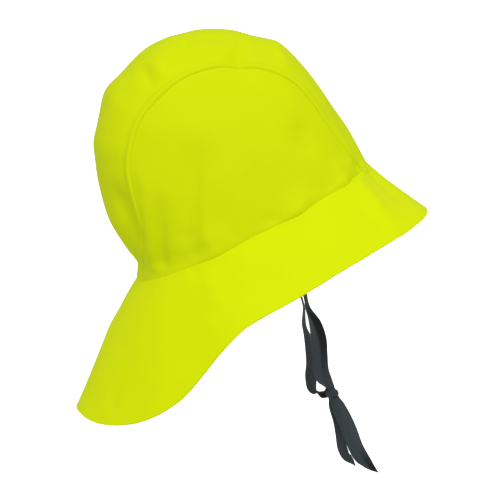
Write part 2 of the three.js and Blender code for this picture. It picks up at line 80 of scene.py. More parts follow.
# %% The camera
VIEW_DISTANCE = 1.9
VIEW_WIDTH = 0.425
VIEW_CENTRE = Vector((-0.0031, 0.0103, -0.0241))
VIEW_FAR = 100

bpy.ops.object.camera_add()
camera = bpy.context.object
camera.name = "camera"
axes = Matrix((turned_right, turned_up, toward_camera)).transposed().to_4x4()
camera.matrix_world = Matrix.Translation(VIEW_CENTRE + toward_camera * VIEW_DISTANCE) @ axes
camera.data.sensor_fit = "HORIZONTAL"
camera.data.angle = 2 * math.atan(VIEW_WIDTH / 2 / VIEW_DISTANCE)
camera.data.clip_end = VIEW_FAR
bpy.context.scene.camera = camera
bpy.context.scene.view_settings.view_transform = "Standard"
print("camera", [round(v, 4) for v in camera.location])

# %% [markdown]
# ## The ties
#
# Each tie is one flat woven ribbon, sewn in at the ear. It hangs down the cheek, turns over where it is
# pulled to the middle, goes through the knot, and ends in a short tail that was cut off at a slant. A
# ribbon this thin can't bend in its own plane, so it twists and creases instead. A curve with a flat
# bevel could follow such a route, but it can't crease. So the ribbon is a strip of short cross rows
# along its real route, with a crease down its middle where it was folded, and the strip is then given
# its thickness.
#
# The rows below are read off the photograph, and each says how the ribbon lies at one place of its
# route.

# %% The ties' routes
# How far out from the middle of the hat a ribbon is sewn in, in mm.
EAR = 82.3

# x, y, z in mm. turn: 0 lies front to back, 90 left to right. wide: share of the width.
# crease: how far the middle stands out of the ribbon's plane, as a share of the width.
# the last column, painted shade: how much the ribbon's front edge is darkened with painted shade, where
# it is folded over and lies in shadow.
RIGHT_ROUTE = [
    {"x": -EAR, "y": -4, "z": 9, "turn": 0, "wide": 1, "crease": 0, "painted_shade": 0},
    {"x": -EAR, "y": -4, "z": -2, "turn": 0, "wide": 1, "crease": 0, "painted_shade": 0},
    {"x": -80, "y": -6, "z": -18, "turn": 10, "wide": 1, "crease": 0.02, "painted_shade": 0},
    {"x": -75, "y": -10, "z": -40, "turn": 35, "wide": 1, "crease": 0.04, "painted_shade": 0},
    {"x": -67, "y": -14, "z": -62, "turn": 78, "wide": 0.9, "crease": 0.08, "painted_shade": 0},
    {"x": -62, "y": -14, "z": -72, "turn": 80, "wide": 0.65, "crease": 0.12, "painted_shade": 0.3},
    {"x": -57, "y": -14, "z": -80, "turn": 62, "wide": 0.7, "crease": 0.22, "painted_shade": 0.8},
    {"x": -50, "y": -16, "z": -93, "turn": 40, "wide": 0.88, "crease": 0.32, "painted_shade": 1},
    {"x": -41, "y": -16, "z": -109, "turn": 26, "wide": 1, "crease": 0.32, "painted_shade": 1},
    {"x": -32, "y": -14, "z": -124, "turn": 20, "wide": 0.95, "crease": 0.25, "painted_shade": 0.8},
    {"x": -21, "y": -11.5, "z": -140, "turn": 10, "wide": 1, "crease": 0.2, "painted_shade": 0.4},
    {"x": -12, "y": -12.4, "z": -152, "turn": 12, "wide": 0.95, "crease": 0.25, "painted_shade": 0.1},
    {"x": -6.2, "y": -14.4, "z": -158.8, "turn": 18, "wide": 0.7, "crease": 0.3, "painted_shade": 0},
    {"x": -1, "y": -16, "z": -165, "turn": 16, "wide": 0.5, "crease": 0.3, "painted_shade": 0},
    {"x": -2.6, "y": -16.7, "z": -172.9, "turn": 12, "wide": 0.6, "crease": 0.25, "painted_shade": 0},
    {"x": -3, "y": -17, "z": -178, "turn": 12, "wide": 0.85, "crease": 0.18, "painted_shade": 0},
    {"x": -5, "y": -18, "z": -189, "turn": 5, "wide": 1, "crease": 0.12, "painted_shade": 0},
    {"x": -8, "y": -19, "z": -202, "turn": 5, "wide": 1, "crease": 0.08, "painted_shade": 0},
    {"x": -10, "y": -19, "z": -216, "turn": 10, "wide": 1, "crease": 0.06, "painted_shade": 0},
    {"x": -11, "y": -21, "z": -228, "turn": 25, "wide": 1, "crease": 0.08, "painted_shade": 0.5},
    {"x": -11, "y": -25, "z": -240, "turn": 55, "wide": 0.9, "crease": 0.05, "painted_shade": 1},
]

LEFT_ROUTE = [
    {"x": EAR, "y": -4, "z": 9, "turn": 0, "wide": 1, "crease": 0, "painted_shade": 0},
    {"x": EAR, "y": -4, "z": -2, "turn": 0, "wide": 1, "crease": 0, "painted_shade": 0},
    {"x": 79, "y": -9, "z": -26, "turn": -10, "wide": 1, "crease": 0.02, "painted_shade": 0},
    {"x": 71, "y": -17, "z": -56, "turn": -40, "wide": 1, "crease": 0.05, "painted_shade": 0},
    {"x": 60, "y": -24, "z": -83, "turn": -80, "wide": 1, "crease": 0.08, "painted_shade": 0},
    {"x": 52, "y": -23, "z": -97, "turn": -88, "wide": 1, "crease": 0.1, "painted_shade": 0},
    {"x": 45, "y": -18, "z": -111, "turn": -75, "wide": 1, "crease": 0.12, "painted_shade": 0},
    {"x": 39, "y": -17, "z": -120, "turn": -60, "wide": 1, "crease": 0.12, "painted_shade": 0},
    {"x": 32, "y": -14, "z": -132, "turn": -50, "wide": 1, "crease": 0.1, "painted_shade": 0.2},
    {"x": 25, "y": -10, "z": -144, "turn": -45, "wide": 1, "crease": 0.12, "painted_shade": 0.4},
    {"x": 18, "y": -5, "z": -153, "turn": -45, "wide": 1, "crease": 0.15, "painted_shade": 0.6},
    {"x": 13, "y": -3, "z": -161, "turn": -50, "wide": 0.9, "crease": 0.2, "painted_shade": 1},
    {"x": 10, "y": -6, "z": -165, "turn": -65, "wide": 0.75, "crease": 0.25, "painted_shade": 1},
    {"x": 5.6, "y": -10.9, "z": -166, "turn": -70, "wide": 0.55, "crease": 0.3, "painted_shade": 1},
    {"x": -1, "y": -16, "z": -165, "turn": -30, "wide": 0.5, "crease": 0.3, "painted_shade": 1},
    {"x": 1.6, "y": -15.3, "z": -172.8, "turn": 8, "wide": 0.55, "crease": 0.3, "painted_shade": 1},
    {"x": 2.8, "y": -15, "z": -178, "turn": -10, "wide": 0.75, "crease": 0.22, "painted_shade": 1},
    {"x": 4, "y": -15, "z": -189, "turn": -35, "wide": 1, "crease": 0.14, "painted_shade": 1},
    {"x": 6, "y": -13, "z": -203, "turn": -38, "wide": 1, "crease": 0.12, "painted_shade": 1},
    {"x": 7, "y": -10, "z": -217, "turn": -45, "wide": 1, "crease": 0.08, "painted_shade": 0.8},
    {"x": 7, "y": -11, "z": -225, "turn": -52, "wide": 1, "crease": 0.08, "painted_shade": 0.6},
    {"x": 6, "y": -15, "z": -231, "turn": -60, "wide": 0.9, "crease": 0.05, "painted_shade": 0.6},
]
print("rows", len(RIGHT_ROUTE), len(LEFT_ROUTE))

# %% [markdown]
# Between two rows the ribbon is filled in smoothly, as a bent strip fills it. The curve takes even steps
# by the root of the distance between its points. With plain even steps it would make small loops where
# two rows stand close together, as they do at the knot.

# %% A smooth way between two rows
LEAST_STEP = 1e-6


def blend(start, out, end, into, share):
    """A smooth way from start to end that leaves with the slope out and arrives with the slope into."""
    square, cube = share**2, share**3
    return (
        start * (2 * cube - 3 * square + 1)
        + out * (cube - 2 * square + share)
        + end * (3 * square - 2 * cube)
        + into * (cube - square)
    )


def curve_point(points, at):
    """A point of the smooth curve through points, without the loops that uneven spacing can give."""
    last = len(points) - 1
    place = min(max(at, 0), 1) * last
    i = min(int(place), last - 1)
    before = points[i - 1] if i > 0 else points[0] * 2 - points[1]
    after = points[i + 2] if i < last - 1 else points[last] * 2 - points[last - 1]
    start, end = points[i], points[i + 1]
    step0 = max(math.sqrt((start - before).length), LEAST_STEP)
    step1 = max(math.sqrt((end - start).length), LEAST_STEP)
    step2 = max(math.sqrt((after - end).length), LEAST_STEP)
    out = (start - before) / step0 - (end - before) / (step0 + step1) + (end - start) / step1
    into = (end - start) / step1 - (after - start) / (step1 + step2) + (after - end) / step2
    return blend(start, out * step1, end, into * step1, place - i)


bend = [Vector((0, 0, 0)), Vector((1, 0, 0)), Vector((1, 1, 0))]
print("halfway to the corner of a bend", [round(v, 2) for v in curve_point(bend, 1 / 4)])

# %% The points of the two routes
RIBBON_ROW = 1.5 * MM
ROUTE_SAMPLES = 400


def route_points(rows):
    """Points along the ribbon's middle, one for each row of the strip, and its length, in metres."""
    corners = [Vector((row["x"], row["y"], row["z"])) * MM for row in rows]
    rough = [curve_point(corners, i / ROUTE_SAMPLES) for i in range(ROUTE_SAMPLES + 1)]
    length = sum((b - a).length for a, b in zip(rough, rough[1:]))
    steps = round(length / RIBBON_ROW)
    return [curve_point(corners, i / steps) for i in range(steps + 1)], length


right_points, right_length = route_points(RIGHT_ROUTE)
left_points, left_length = route_points(LEFT_ROUTE)
print("ties", round(right_length, 4), round(left_length, 4))

# %% [markdown]
# The other columns, such as the turn and the width, are read off between the rows in the same smooth
# way. They are plain numbers at even steps, so a simpler slope is enough for them.

# %% A value between the rows


def read_table(rows, column, at):
    """A smooth value of a column at a share of the way through the rows, level at both ends."""
    last = len(rows) - 1
    place = min(max(at, 0), 1) * last
    i = min(int(place), last - 1)
    low, high = rows[i][column], rows[i + 1][column]
    slope_low = 0 if i == 0 else (high - rows[i - 1][column]) / 2
    slope_high = 0 if i == last - 1 else (rows[i + 2][column] - low) / 2
    return blend(low, slope_low, high, slope_high, place - i)


for side, rows in (("right", RIGHT_ROUTE), ("left", LEFT_ROUTE)):
    print(side, "tie halfway, turned by", round(read_table(rows, "turn", 1 / 2)), "degrees")

# %% [markdown]
# The cross rows stand square to the route. The crease is a V across the row, measured from its mean, so
# that a deeper crease doesn't carry the ribbon away from its route. The tail's end is sheared off by
# moving the end rows along the route, more on one side than on the other, as scissors leave it.
#
# Each point also gets its place along the tape, for the weave, and how much painted shade darkens it
# where the ribbon is folded over and lies in shadow, for its colour.

# %% The points of a ribbon
RIBBON_WIDTH = 13 * MM
RIBBON_ACROSS = 8
# Painted shade: from this share across, the ribbon's front part is darkened in colour where it is folded
# over and in shadow.
PAINTED_SHADE_FROM = 0.2
SLANT_WIDTHS = 2
CREASE_MEAN = 1 / 2
FORWARD = Vector((0, -1, 0))


def strip_points(rows, centres, slant):
    """The strip's points, their places in ribbon widths, and how much painted shade darkens each."""
    points, places, painted_shades = [], [], []
    steps = len(centres) - 1
    for i, centre in enumerate(centres):
        at = i / steps
        ahead = (centres[min(i + 1, steps)] - centres[max(i - 1, 0)]).normalized()
        turn = math.radians(read_table(rows, "turn", at))
        half = RIBBON_WIDTH * read_table(rows, "wide", at) / 2
        crease = RIBBON_WIDTH * read_table(rows, "crease", at)
        level = (FORWARD - ahead * FORWARD.dot(ahead)).normalized()
        across = Matrix.Rotation(turn, 3, ahead) @ level
        normal = ahead.cross(across)
        to_end = max(0, 1 - (steps - i) * RIBBON_ROW / (SLANT_WIDTHS * RIBBON_WIDTH))
        for j in range(RIBBON_ACROSS + 1):
            side = 2 * j / RIBBON_ACROSS - 1
            out = crease * (CREASE_MEAN - abs(side))
            slide = slant * RIBBON_WIDTH * side * to_end**2
            points.append(centre + across * (half * side) + normal * out + ahead * slide)
            places.append((j / RIBBON_ACROSS, i * RIBBON_ROW / RIBBON_WIDTH))
            # painted shade on the ribbon's front part, where it is folded over and in shadow
            painted_shades.append(read_table(rows, "painted_shade", at) if side > PAINTED_SHADE_FROM else 0)
    return points, places, painted_shades


print("cross rows", len(right_points), len(left_points), "of", RIBBON_ACROSS + 1, "points")

# %% [markdown]
# Blender's operators and modifiers act on what is active and selected, so every piece is picked alone
# before it is touched. These few helpers do that for all the pieces below.

# %% Picking, editing and finishing one piece


def pick_alone(obj):
    bpy.ops.object.select_all(action="DESELECT")
    bpy.context.view_layer.objects.active = obj
    obj.select_set(True)


def use_edit(obj, mode="VERT"):
    """Edit one object alone, with nothing selected in it."""
    pick_alone(obj)
    bpy.ops.object.mode_set(mode="EDIT")
    bpy.ops.mesh.select_mode(type=mode)
    bpy.ops.mesh.select_all(action="DESELECT")


def end_edit():
    bpy.ops.object.mode_set(mode="OBJECT")


def clear_picks(obj, mode="VERT"):
    """Leave nothing selected in an object, so that code can select by place."""
    use_edit(obj, mode)
    end_edit()


def use_modifier(obj, kind, **settings):
    """Add a modifier, set it and apply it."""
    pick_alone(obj)
    modifier = obj.modifiers.new(kind.lower(), kind)
    for key, value in settings.items():
        setattr(modifier, key, value)
    bpy.ops.object.modifier_apply(modifier=modifier.name)


def shade_smooth(obj, angle):
    pick_alone(obj)
    bpy.ops.object.shade_smooth_by_angle(angle=angle)


# %% [markdown]
# A tape or a turn of it is made from a list of points and faces, since its form is a formula. Each of
# its points also gets a place along the tape, across in the first number and along in the second, so
# that the woven ribs run across the tape wherever it bends.

# %% A new piece of tape


def new_object(name, points, faces):
    mesh = bpy.data.meshes.new(name)
    mesh.from_pydata([tuple(p) for p in points], [], faces)
    mesh.update()
    obj = bpy.data.objects.new(name, mesh)
    bpy.context.scene.collection.objects.link(obj)
    return obj


def lay_tape(obj, places):
    """Give each point its place along the tape, which the weave follows."""
    layer = obj.data.uv_layers.new(name="along")
    for loop in obj.data.loops:
        layer.data[loop.index].uv = places[loop.vertex_index]


# %% [markdown]
# Each ribbon is subdivided once, so that its creases are round, and is thickened to both sides of its
# middle. Its cut end keeps its corners.

# %% The two ribbons
RIBBON_THICKNESS = 0.7 * MM
RIBBON_LEVELS = 1
RIBBON_SMOOTH = math.radians(50)
RIGHT_SLANT = 0.35
LEFT_SLANT = -0.3


def make_strip(name, rows, centres, slant):
    """A creased ribbon through centres, subdivided once and thickened to both sides."""
    points, places, painted_shades = strip_points(rows, centres, slant)
    row = RIBBON_ACROSS + 1
    faces = [
        (i * row + j, i * row + j + 1, (i + 1) * row + j + 1, (i + 1) * row + j)
        for i in range(len(centres) - 1)
        for j in range(RIBBON_ACROSS)
    ]
    obj = new_object(name, points, faces)
    lay_tape(obj, places)
    # The painted shade is kept on the points, for the tape's colour.
    painted_shade = obj.data.attributes.new("painted_shade", "FLOAT", "POINT")
    painted_shade.data.foreach_set("value", painted_shades)
    use_modifier(obj, "SUBSURF", levels=RIBBON_LEVELS, render_levels=RIBBON_LEVELS,
                 boundary_smooth="PRESERVE_CORNERS")
    use_modifier(obj, "SOLIDIFY", thickness=RIBBON_THICKNESS, offset=0)
    use_edit(obj)
    bpy.ops.mesh.select_all(action="SELECT")
    bpy.ops.mesh.normals_make_consistent(inside=False)
    end_edit()
    shade_smooth(obj, RIBBON_SMOOTH)
    return obj


right_tie = make_strip("tie_right", RIGHT_ROUTE, right_points, RIGHT_SLANT)
left_tie = make_strip("tie_left", LEFT_ROUTE, left_points, LEFT_SLANT)
print("strips", len(right_tie.data.polygons), len(left_tie.data.polygons))

# %% [markdown]
# ## The knot
#
# The knot is an overhand knot drawn tight. Its real path could be laid with the ribbons' strips, but
# drawn this tight they would cut through each other, and only the outside shows. So it is a small lump
# with two turns of gathered ribbon round it that cross in front. Each turn is a band: a ring of cross
# rows round the lump, tilted, bulged, and pleated where the ribbon is gathered.

# %% The turns of the knot
# tilt leans a turn to the side, and lean to the front. round is its half width as a share of the knot's.
# wide is a share of the ribbon's width, and lift how far above the knot's middle the band sits, in mm.
KNOT_TURNS = [
    {"tilt": 0, "lean": 72, "round": 0.76, "wide": 0.7, "lift": 0},
    {"tilt": 12, "lean": 14, "round": 0.76, "wide": 0.48, "lift": -2},
]
KNOT_PLACE = Vector((-1, -16, -165)) * MM
KNOT_SIZE = Vector((15, 15, 14)) * MM
BAND_STEPS = 40
BAND_ACROSS = 6
BAND_BULGE = 0.22
BAND_LENGTH_IN_WIDTHS = 3.5
PLEAT_DEPTH = 0.35 * MM
PLEATS_ACROSS = 3
PLEATS_ROUND = 2


def band_points(turn):
    """The points of one turn of gathered ribbon, and their places in ribbon widths."""
    points, places = [], []
    radius = KNOT_SIZE.x / 2 * turn["round"]
    half = RIBBON_WIDTH * turn["wide"] / 2
    tilt = Matrix.Rotation(math.radians(turn["tilt"]), 3, "Y")
    lean = Matrix.Rotation(math.radians(turn["lean"]), 3, "X")
    lift = Vector((0, 0, turn["lift"] * MM))
    for i in range(BAND_STEPS):
        angle = 2 * math.pi * i / BAND_STEPS
        for j in range(BAND_ACROSS + 1):
            side = 2 * j / BAND_ACROSS - 1
            pleat = PLEAT_DEPTH * math.cos(PLEATS_ACROSS * math.pi * side + PLEATS_ROUND * angle)
            far = radius * (1 - BAND_BULGE * side * side) + pleat
            point = Vector((far * math.cos(angle), far * math.sin(angle), half * side))
            points.append(KNOT_PLACE + tilt @ lean @ point + lift)
            places.append((j / BAND_ACROSS, i / BAND_STEPS * BAND_LENGTH_IN_WIDTHS))
    return points, places


print("turns", len(KNOT_TURNS), "of", BAND_STEPS, "cross rows")

# %% [markdown]
# A turn is thickened inwards and then subdivided. In this order its two edges come out round, as the
# folded edges of gathered ribbon are.

# %% The bands
BAND_THICKNESS = 1.2 * MM
BAND_LEVELS = 1


def make_band(name, turn):
    points, places = band_points(turn)
    row = BAND_ACROSS + 1
    faces = []
    for i in range(BAND_STEPS):
        k = (i + 1) % BAND_STEPS
        for j in range(BAND_ACROSS):
            faces.append((i * row + j, k * row + j, k * row + j + 1, i * row + j + 1))
    obj = new_object(name, points, faces)
    lay_tape(obj, places)
    use_modifier(obj, "SOLIDIFY", thickness=BAND_THICKNESS, offset=-1)
    use_modifier(obj, "SUBSURF", levels=BAND_LEVELS, render_levels=BAND_LEVELS)
    return obj


bands = [make_band(f"knot_turn_{i}", turn) for i, turn in enumerate(KNOT_TURNS)]
print("bands", [len(band.data.polygons) for band in bands])

# %% [markdown]
# The lump fills the turns from inside. It starts as a ball one metre across, and its points are then
# brought to the knot's size with shallow dents, so that no plain round shows between the turns.

# %% The lump inside the turns
KNOT_CORE = 0.56
KNOT_TALL = 1.3
KNOT_SMOOTH = math.radians(60)
LUMP_SEGMENTS = 24
LUMP_RINGS = 14
LUMP_RADIUS = 1 / 2
DENT_DEPTH = 0.06
DENTS = Vector((5, 4, 3))

bpy.ops.object.select_all(action="DESELECT")
bpy.ops.mesh.primitive_uv_sphere_add(segments=LUMP_SEGMENTS, ring_count=LUMP_RINGS,
                                     radius=LUMP_RADIUS, location=(0, 0, 0))
lump = bpy.context.object
lump.data.uv_layers[0].name = "along"
for vertex in lump.data.vertices:
    out = vertex.co.normalized()
    dent = DENT_DEPTH * math.sin(DENTS.x * out.x + DENTS.z * out.z) * math.cos(DENTS.y * out.y)
    size = KNOT_SIZE * KNOT_CORE * (1 + dent)
    x, y, z = vertex.co
    vertex.co = KNOT_PLACE + Vector((x * size.x, y * size.y, z * size.z * KNOT_TALL))
print("lump", len(lump.data.polygons))

# %% The knot in one piece
bpy.ops.object.select_all(action="DESELECT")
for part in [lump] + bands:
    part.select_set(True)
bpy.context.view_layer.objects.active = lump
bpy.ops.object.join()
knot = bpy.context.object
knot.name = "knot"
knot.data.name = "knot"
shade_smooth(knot, KNOT_SMOOTH)
print("knot", len(knot.data.polygons))

# %% [markdown]
# The knot is drawn from both ties.

# %% What the ties are
for piece in (right_tie, left_tie, knot):
    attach(piece, "root")
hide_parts("tie_ribbon_right", "tie_tail_right")
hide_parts("tie_ribbon_left", "tie_tail_left")
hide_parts("tie_knot")

# %% [markdown]
# ## Folds of the crown
#
# Folds could be sculpted by hand, but then no one could change them later. Here each fold is a short
# line on the fabric: its two ends in mm, and how wide and deep it is there. The list goes round the
# crown as the photograph shows it, and each row can be moved, widened or deepened by itself.

# %% Folds of the crown
# A fold with a positive depth goes in, and one with a negative depth stands out.
CROWN_FOLDS = [
    # puckers above the nape, on the gusset
    {"from": (-37, 101, 68), "to": (-36, 102, 47), "wide": 4, "deep": 1.4},
    {"from": (-43, 97, 62), "to": (-39, 100, 36), "wide": 3.5, "deep": 1.2},
    {"from": (-49, 94, 46), "to": (-16, 101, 1), "wide": 3, "deep": 1.2},
    {"from": (-40, 99, 66), "to": (-41, 99, 34), "wide": 10, "deep": 1.8},
    # pinch where the gusset narrows to the seam
    {"from": (-56, 90, 44), "to": (-28, 99, 1), "wide": 2.5, "deep": -0.8},
    # ridge, valley and broad fold down the right side
    {"from": (-65, 79, 67), "to": (-41, 94, -3), "wide": 5, "deep": -1.9},
    {"from": (-65, 73, 45), "to": (-50, 85, 0), "wide": 6, "deep": 2.2},
    {"from": (-75, 35, 76), "to": (-73, 60, 17), "wide": 10, "deep": 2.9},
    {"from": (-78, 25, 77), "to": (-79, 49, 8), "wide": 4, "deep": -0.9},
    # puffs over the seam, and dips between them
    {"from": (-77, 51, 6), "to": (-82, 36, 7), "wide": 8, "deep": -1.2},
    {"from": (-85, -20, 13), "to": (-82, -37, 14), "wide": 8, "deep": -1.2},
    {"from": (-67, -71, 23), "to": (-58, -83, 23), "wide": 7, "deep": -1.2},
    {"from": (-69, 64, -1), "to": (-75, 56, 1), "wide": 5, "deep": 1.0},
    {"from": (-85, 1, 6), "to": (-85, -6, 6), "wide": 5, "deep": 1.0},
    {"from": (-74, -56, 15), "to": (-71, -64, 15), "wide": 5, "deep": 1.0},
    # temple
    {"from": (-68, -55, 74), "to": (-70, -56, 53), "wide": 9, "deep": 1.3},
    {"from": (-46, -86, 54), "to": (-53, -86, 29), "wide": 6, "deep": 0.6},
    # streaks down the front, on the gusset
    {"from": (-45, -86, 60), "to": (-43, -95, 18), "wide": 4.5, "deep": 3.6},
    {"from": (-32, -94, 62), "to": (-35, -100, 17), "wide": 9, "deep": 2.0},
    {"from": (-47, -80, 73), "to": (-46, -86, 55), "wide": 4, "deep": 0.8},
    # over the top
    {"from": (-27, -41, 150), "to": (-49, -29, 136), "wide": 5, "deep": 2.2},
    {"from": (-49, -29, 136), "to": (-53, -22, 135), "wide": 4, "deep": 1.0},
    {"from": (-23, -65, 134), "to": (-42, -65, 121), "wide": 4, "deep": -1.2},
    {"from": (-27, 5, 164), "to": (-36, 7, 160), "wide": 3, "deep": 1.5},
    {"from": (-32, -4, 162), "to": (-31, -20, 158), "wide": 7, "deep": 1.8},
    {"from": (-27, 48, 157), "to": (-47, 46, 143), "wide": 5, "deep": 1.9},
    {"from": (-35, 38, 157), "to": (-50, 34, 145), "wide": 4, "deep": -1.4},
    {"from": (-23, 76, 144), "to": (-42, 67, 137), "wide": 6, "deep": 0.9},
    {"from": (-27, -78, 112), "to": (-27, -86, 89), "wide": 5, "deep": 0.8},
    # the left side, which the photograph hides
    {"from": (66, 76, 62), "to": (46, 90, 4), "wide": 5, "deep": 1.4},
    {"from": (77, 30, 72), "to": (72, 60, 25), "wide": 13, "deep": 1.8},
    {"from": (84, -8, 9), "to": (81, -34, 12), "wide": 8, "deep": -1.4},
    {"from": (40, -45, 140), "to": (55, -30, 128), "wide": 5, "deep": 1.2},
]
print("crown folds", len(CROWN_FOLDS))

# %% Folds of the brim
BRIM_FOLDS = [
    # the ridge that runs out from the front of the seam, where the brim turns to the front
    {"from": (-80, -99, -30), "to": (-57, -87, 8), "wide": 10, "deep": -4.2},
    {"from": (-52, -121, -27), "to": (-32, -109, 5), "wide": 11, "deep": 3.0},
    # soft waves of the back flap and the sides
    {"from": (-75, 54, -8), "to": (-98, 59, -35), "wide": 8, "deep": -1.2},
    {"from": (-38, 113, -26), "to": (-40, 142, -55), "wide": 12, "deep": 1.0},
    {"from": (-58, 155, -82), "to": (-61, 165, -96), "wide": 8, "deep": 0.8},
    {"from": (60, -96, -2), "to": (84, -104, -34), "wide": 4, "deep": 1.0},
    {"from": (76, 56, -10), "to": (98, 62, -38), "wide": 8, "deep": -1.0},
]
print("brim folds", len(BRIM_FOLDS))

# %% [markdown]
# ## The waves of the seam and of the brim's edge
#
# The seam between the crown and the brim isn't quite level or even, and puffs out between its dips. The
# front of the brim's edge is full and round, and droops a little. Both come from how the fabric is cut
# and pulled, so they carry the whole sheet with them and aren't folds in it. In each row, wide, down and
# out are in mm, at a place of the seam or of the edge.
#
# The hat sits tipped back a little on the head, so down is measured square to its opening.

# %% The waves of the seam
HAT_PITCH = math.radians(-7.5)
HAT_UP = Matrix.Rotation(HAT_PITCH, 3, "X") @ Vector((0, 0, 1))
SEAM_WAVES = [
    {"at": (-78, 46, 1), "wide": 15, "down": 1.2, "out": 4},
    {"at": (-85, -28, 10), "wide": 13, "down": 1.4, "out": 5.5},
    {"at": (-78, -54, 12), "wide": 10, "down": -0.4, "out": 0},
    {"at": (-65, -75, 14), "wide": 9, "down": 0.6, "out": 4.5},
    {"at": (-85, 12, 3), "wide": 14, "down": -0.6, "out": -0.5},
    {"at": (84, -20, 8), "wide": 15, "down": 1.8, "out": 2.5},
    {"at": (77, 50, 1), "wide": 16, "down": 1.2, "out": 2},
]
print("seam waves", len(SEAM_WAVES))

# %% The fullness of the brim's edge
EDGE_SHIFTS = [
    {"at": (-82, -110, -41), "wide": 18, "down": 0.6, "out": 2.2},
    {"at": (-58, -130, -39), "wide": 18, "down": 1.0, "out": 2.8},
    {"at": (-14, -145, -41), "wide": 20, "down": 0.5, "out": -1.2},
]
print("edge shifts", len(EDGE_SHIFTS))

# %% [markdown]
# ## Fabric from the solids
#
# Each piece of fabric starts as the outer face of its solid. It could be modelled again from a
# primitive, but then it would drift from the solid that it stands in for. A copy of the solid is merged
# and turned into quads, and its inner face and edges are deleted, which leaves the sheet as it was cut
# and sewn.
#
# A sheet's border is where its edges have only one face. The border matters all through what follows,
# because fabric is stiff and puckered at a seam and soft away from it.

# %% The border of a sheet


def border_edges(mesh):
    """The pairs of vertices of the edges with one face, and how many faces each vertex has."""
    faces_of_edge, faces_of_vertex = {}, {}
    for face in mesh.polygons:
        for pair in face.edge_keys:
            faces_of_edge[pair] = faces_of_edge.get(pair, 0) + 1
        for vertex in face.vertices:
            faces_of_vertex[vertex] = faces_of_vertex.get(vertex, 0) + 1
    return {pair for pair, count in faces_of_edge.items() if count == 1}, faces_of_vertex


for node in ("crown_gusset", "brim"):
    print(node, "open edges before its faces are merged", len(border_edges(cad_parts[node].data)[0]))

# %% [markdown]
# Subdivision keeps the sheet's true corners sharp, and it knows a corner by the single face that meets
# there. A quad can also hold two edges of a smooth border, and its middle vertex would be pulled out to
# a corner that the real hem doesn't have. Such a quad is parted across, which makes its border smooth.

# %% No false corners on a smooth border
FLAT_CORNER = math.radians(140)


def part_flat_corners(obj):
    """Part each quad that holds two edges of a smooth border, which would be shaped as a corner."""
    _, faces_of_vertex = border_edges(obj.data)
    places = [vertex.co.copy() for vertex in obj.data.vertices]
    pairs = []
    for face in obj.data.polygons:
        around = list(face.vertices)
        for k, middle in enumerate(around):
            if len(around) == 4 and faces_of_vertex[middle] == 1:
                before, after, across = around[k - 1], around[(k + 1) % 4], around[(k + 2) % 4]
                to_before, to_after = places[before] - places[middle], places[after] - places[middle]
                if to_before.angle(to_after) > FLAT_CORNER:
                    pairs.append((middle, across))
    for pair in pairs:
        clear_picks(obj)
        for i in pair:
            obj.data.vertices[i].select = True
        bpy.ops.object.mode_set(mode="EDIT")
        bpy.ops.mesh.vert_connect()
        end_edit()
    print(obj.name, "flat corners parted", len(pairs))


# %% [markdown]
# The row of faces next to the border is then split finer, because the lip and the puckers of a seam are
# only a few millimetres wide. To split the whole sheet as finely would cost many faces for nothing.

# %% Finer rows next to the border
SPLIT_ROWS = 3


def split_border(obj):
    """Split the row of faces next to the border into finer rows."""
    border, faces_of_vertex = border_edges(obj.data)
    edge_vertices = {vertex for pair in border for vertex in pair}
    corners = {vertex for vertex in edge_vertices if faces_of_vertex[vertex] == 1}
    clear_picks(obj, "EDGE")
    for edge in obj.data.edges:
        a, b = edge.vertices
        crosses = (a in edge_vertices) != (b in edge_vertices)
        edge.select = crosses or a in corners or b in corners
    bpy.ops.object.mode_set(mode="EDIT")
    bpy.ops.mesh.subdivide(number_cuts=SPLIT_ROWS)
    end_edit()
    print(obj.name, "faces with the finer rows", len(obj.data.polygons))


# %% [markdown]
# A solid comes as loose triangles, and a sheet subdivides evenly only in quads. So its points are merged
# first. Then triangles become quads in three passes, the flattest pairs first, because one wide pass
# would join the wrong ones where the fabric bends.

# %% A solid in quads
MERGE_GAP = 0.01 * MM
QUAD_ANGLES = (30, 60, 180)


def copy_as_quads(node, name):
    """A merged copy of a solid in quads, with nothing selected."""
    obj = bpy.data.objects.new(name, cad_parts[node].data.copy())
    obj.data.name = name
    obj.data.materials.clear()
    bpy.context.scene.collection.objects.link(obj)
    use_edit(obj, "FACE")
    bpy.ops.mesh.select_all(action="SELECT")
    bpy.ops.mesh.remove_doubles(threshold=MERGE_GAP)
    for angle in QUAD_ANGLES:
        bpy.ops.mesh.select_all(action="SELECT")
        bpy.ops.mesh.tris_convert_to_quads(
            face_threshold=math.radians(angle), shape_threshold=math.radians(angle)
        )
    bpy.ops.mesh.select_all(action="DESELECT")
    end_edit()
    return obj


# %% [markdown]
# The outer face is found from one face that looks straight out of the hat. All the faces that join it
# without a sharp turn belong to it, and the turn at the wall's edge stops the selection. The crown looks
# out from the middle of the head opening. The brim looks out and up, since it slopes down all round.

# %% The outer face of a solid
WALL_TURN = math.radians(45)
SHEET_LEVELS = 2
BRIM_OUTWARD = 0.75
BRIM_UPWARD = 0.66


def crown_out(point):
    return point.normalized()


def brim_out(point):
    level = Vector((point.x, point.y, 0)).normalized()
    return (level * BRIM_OUTWARD + Vector((0, 0, BRIM_UPWARD))).normalized()


